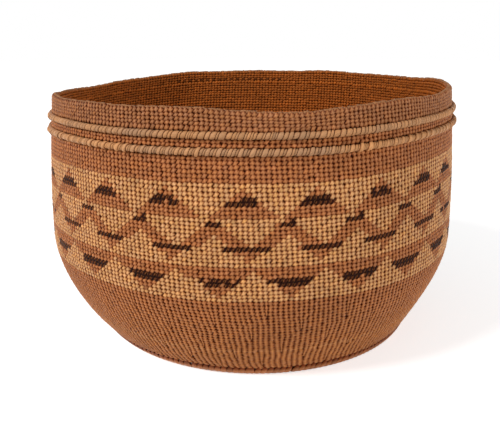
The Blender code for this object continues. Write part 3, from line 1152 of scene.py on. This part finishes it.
class BASKET_OT_lash_hoops(bpy.types.Operator):
    """Bends the two hoop rods round the wall and lashes them"""

    bl_idname = "basket.lash_hoops"
    bl_label = "Lash the hoops"

    def execute(self, context):
        wall = Wall(context.scene.basket_sizes)
        _, hoops = wall_courses()
        for seed, name, arc in ((81, "upper", hoops[0]), (82, "lower", hoops[1])):
            self.bend_rod(context, wall, name, arc)
            self.lash(context, wall, name, arc, seed)
        return {"FINISHED"}

    def section_of(self, wall, arc):
        """The hoop's centre in the wall's section, and the angle that points away from the wall there."""
        rod_face = wall.sizes.weft_thickness + LAYER_GAP
        centre = np.array(wall.section(arc, rod_face - LAYER_GAP - wall.sizes.hoop_rod_radius))
        face = np.array(wall.section(arc, 0.0))
        behind = np.array(wall.section(arc, rod_face))
        out = math.atan2(face[1] - behind[1], face[0] - behind[0])
        return centre, out

    def bend_rod(self, context, wall, name, arc):
        """The stiff rod, bent to a ring round the wall."""
        centre, _ = self.section_of(wall, arc)
        hoop = add_primitive(
            bpy.ops.mesh.primitive_torus_add,
            major_segments=96, minor_segments=8, major_radius=1.0, minor_radius=0.25,
        )
        points = points_of(hoop.data, 1)
        angle = np.arctan2(points[..., 0], -points[..., 1])
        round_section = np.arctan2(points[..., 2], np.hypot(points[..., 0], points[..., 1]) - 1.0)
        reach = wall.sizes.hoop_rod_radius
        radius = centre[0] + reach * np.cos(round_section)
        height = centre[1] + reach * np.sin(round_section)
        set_points(hoop.data, wall.turn(angle, radius, height))
        paint(hoop.data, np.broadcast_to(np.asarray(context.scene.basket_colours.rod_tip), points.shape))
        lay_grain(hoop.data, angle * 40, round_section)
        wood = strand_material("hoop_wood", 0.6, 0.2, 0.00008)
        finish_piece(hoop, name + "_hoop", (wood,), "hoop_rod", name + "_hoop_rod")

    def lash(self, context, wall, name, arc, seed):
        """The lashing: slanting turns of strand, side by side round the hoop rod."""
        colours = context.scene.basket_colours
        random = np.random.default_rng(seed)
        centre, out = self.section_of(wall, arc)
        unit = add_primitive(
            bpy.ops.mesh.primitive_uv_sphere_add,
            segments=8, ring_count=9, radius=0.5, rotation=(math.radians(90), 0.0, 0.0),
        )
        if name == "upper":
            shares = random.choice(UPPER_LASHING_WIDTHS, size=UPPER_LASHING_TURNS, p=UPPER_LASHING_SHARES)
            proud = np.ones(len(shares))
        else:
            pairs = wall.sizes.rods_at_belly // 2
            shares = np.tile(LOWER_LASHING_WIDTHS, pairs)
            shares *= random.uniform(0.8, 1.2, len(shares))
            proud = np.tile(LOWER_LASHING_PROUD, pairs)
        shares = shares * 2 * math.pi / shares.sum()
        count = len(shares)
        angle0 = np.cumsum(shares) - shares / 2 - math.pi
        mesh = repeat(unit, count)
        points = points_of(mesh, count)
        # The strand keeps its width most of the way round the hoop, and is flat, so its turns meet in
        # shallow grooves.
        across = points[..., 1]
        fuller = np.clip(1 - 4 * across**2, 0.05, 1.0) ** -0.3
        along = points[..., 0] * fuller
        out_share = np.clip(1 - 2.1 * (0.5 - points[..., 2] * fuller) ** 2, 0.0, 1.0)
        bulge = (proud * (1 + random.normal(0.0, 0.12, count)))[:, None]
        thickness = HOOP_WIDTH / 2 - wall.sizes.hoop_rod_radius
        ring = wall.sizes.hoop_rod_radius - LASHING_SUNK + out_share * (thickness + LASHING_SUNK) * bulge
        turned = np.arcsin(np.clip(2 * across, -1.0, 1.0)) / (math.pi / 2) * LASHING_REACH
        section = out + turned
        angle = angle0[:, None] + along * shares[:, None] * 1.04 + turned * LASHING_SLANT
        radius = centre[0] + ring * np.cos(section)
        height = centre[1] + ring * np.sin(section)
        set_points(mesh, wall.turn(angle, radius, height - course_wave(angle, arc)))

        grey = 0.40 + 0.60 * patches(angle0, 0.3 * seed) + random.normal(0, 0.10, count)
        grey = np.clip(grey, 0.0, 1.0)[:, None]
        colour = mixed(colours.hoop_strand, colours.hoop_grey, grey)
        # Painted light and shade: the prouder turns are painted lighter and the lower ones darker, and the
        # grooves between the turns are darkened.
        colour *= (0.5 + 0.5 * proud + random.normal(0.0, 0.06, count))[:, None]
        paint(mesh, colour[:, None, :] * shaded(ramp(out_share, 0.58, 0.94)))
        offset = random.uniform(0.0, 50.0, count)[:, None]
        lay_grain(mesh, across * 3 + offset, along + offset)
        strand = strand_material("hoop_strand", 0.50, 0.22, 0.0001, gloss=0.15)
        finish_piece(unit, name + "_hoop_turns", (strand,), "hoop_lashing", name + "_hoop_lashing")


# Where the lamps stand, how broad they are, and the point that both aim at.
KEY_LAMP = ((-1.62, -1.10, 1.78), 0.8)
FILL_LAMP = ((1.6, -1.1, 0.8), 1.0)
LAMP_TARGET = (0.0, 0.0, 0.12)
FLOOR_RADIUS = 4.0
# The floor glows from the first to the second strength between these distances from the basket's axis.
FLOOR_GLOW = {"From Min": 0.2, "From Max": 1.2, "To Min": 0.58, "To Max": 0.80}
FLOOR_LOOK = {"Base Color": (0.92, 0.92, 0.92, 1.0), "Roughness": 0.9, "Specular IOR Level": 0.0}


class BASKET_OT_set_stage(bpy.types.Operator):
    """Sets the pale floor, the soft light and the camera"""

    bl_idname = "basket.set_stage"
    bl_label = "Set the stage"

    def execute(self, context):
        scene = context.scene
        stage = scene.basket_stage
        scene.view_settings.view_transform = "Standard"
        self.lay_floor()
        self.light_sky(scene, stage)
        self.add_lamp("key_light", *KEY_LAMP, stage.key_power)
        self.add_lamp("fill_light", *FILL_LAMP, stage.fill_power)
        camera = bpy.data.cameras.new("camera")
        camera.lens = stage.lens
        camera.sensor_width = 36.0
        camera.shift_x = stage.camera_shift
        camera.clip_start = 0.01
        carrier = bpy.data.objects.new("camera", camera)
        scene.collection.objects.link(carrier)
        carrier.location = (0.0, -stage.camera_distance, stage.camera_height)
        carrier.rotation_euler = (math.radians(90) - stage.camera_tilt, 0.0, 0.0)
        scene.camera = carrier
        return {"FINISHED"}

    def lay_floor(self):
        deselect_all()
        bpy.ops.mesh.primitive_circle_add(vertices=64, radius=FLOOR_RADIUS, fill_type="NGON")
        floor = bpy.context.object
        floor.name = "floor"
        material = bpy.data.materials.new("floor_white")
        material.use_nodes = True
        tree = material.node_tree
        links = tree.links
        shader = tree.nodes["Principled BSDF"]
        fill_sockets(shader, FLOOR_LOOK)
        links.new(self.background_rays(tree), shader.inputs["Emission Strength"])
        # It glows less close to the basket, where the lamps reach it, so that the shadow shows.
        place = add_node(tree, "ShaderNodeTexCoord")
        away = add_node(tree, "ShaderNodeVectorMath", operation="LENGTH")
        glow = add_node(tree, "ShaderNodeMapRange", FLOOR_GLOW)
        links.new(place.outputs["Object"], away.inputs[0])
        links.new(away.outputs["Value"], glow.inputs["Value"])
        links.new(glow.outputs["Result"], shader.inputs["Emission Color"])
        floor.data.materials.append(material)

    def background_rays(self, tree):
        """A socket that is 1 where the camera, a reflection or a clear piece shows the background."""
        path = add_node(tree, "ShaderNodeLightPath")
        seen = path.outputs["Is Camera Ray"]
        for name in ("Is Glossy Ray", "Is Transmission Ray"):
            either = add_node(tree, "ShaderNodeMath", operation="MAXIMUM")
            tree.links.new(seen, either.inputs[0])
            tree.links.new(path.outputs[name], either.inputs[1])
            seen = either.outputs["Value"]
        return seen

    def light_sky(self, scene, stage):
        world = bpy.data.worlds.new("sky")
        world.use_nodes = True
        scene.world = world
        tree = world.node_tree
        sky = tree.nodes["Background"]
        fill_sockets(sky, {"Color": (1.0, 1.0, 1.0, 1.0)})
        strength = add_node(tree, "ShaderNodeMapRange", {"To Min": stage.sky_strength, "To Max": 1.0})
        tree.links.new(self.background_rays(tree), strength.inputs["Value"])
        tree.links.new(strength.outputs["Result"], sky.inputs["Strength"])

    def add_lamp(self, name, location, size, power):
        lamp = bpy.data.lights.new(name, "AREA")
        lamp.shape = "DISK"
        lamp.size = size
        lamp.energy = power
        carrier = bpy.data.objects.new(name, lamp)
        bpy.context.scene.collection.objects.link(carrier)
        carrier.location = location
        aim = Vector(LAMP_TARGET) - carrier.location
        carrier.rotation_euler = aim.to_track_quat("-Z", "Y").to_euler()


STEPS = (
    BASKET_OT_lay_rods,
    BASKET_OT_weave_rim,
    BASKET_OT_lash_hoops,
    BASKET_OT_weave_plain_wall,
    BASKET_OT_weave_pattern,
    BASKET_OT_weave_base,
    BASKET_OT_weave_inside,
    BASKET_OT_set_stage,
)


class BASKET_PT_weaving(bpy.types.Panel):
    """The steps of weaving the basket, in order"""

    bl_label = "Twined storage basket"
    bl_idname = "BASKET_PT_weaving"
    bl_space_type = "VIEW_3D"
    bl_region_type = "UI"
    bl_category = "Basket"

    def draw(self, context):
        layout = self.layout
        scene = context.scene
        for settings in (scene.basket_sizes, scene.basket_colours, scene.basket_stage):
            column = layout.column()
            for name in settings.__annotations__:
                column.prop(settings, name)
        for step in STEPS:
            layout.operator(step.bl_idname)


CLASSES = (BasketSizes, BasketColours, StageSettings, *STEPS, BASKET_PT_weaving)


def register():
    for cls in CLASSES:
        bpy.utils.register_class(cls)
    bpy.types.Scene.basket_sizes = PointerProperty(type=BasketSizes)
    bpy.types.Scene.basket_colours = PointerProperty(type=BasketColours)
    bpy.types.Scene.basket_stage = PointerProperty(type=StageSettings)


def unregister():
    del bpy.types.Scene.basket_stage
    del bpy.types.Scene.basket_colours
    del bpy.types.Scene.basket_sizes
    for cls in reversed(CLASSES):
        bpy.utils.unregister_class(cls)


def main():
    register()
    bpy.ops.basket.lay_rods()
    bpy.ops.basket.weave_rim()
    bpy.ops.basket.lash_hoops()
    bpy.ops.basket.weave_plain_wall()
    bpy.ops.basket.weave_pattern()
    bpy.ops.basket.weave_base()
    bpy.ops.basket.weave_inside()
    bpy.ops.basket.set_stage()


if __name__ == "__main__":
    main()
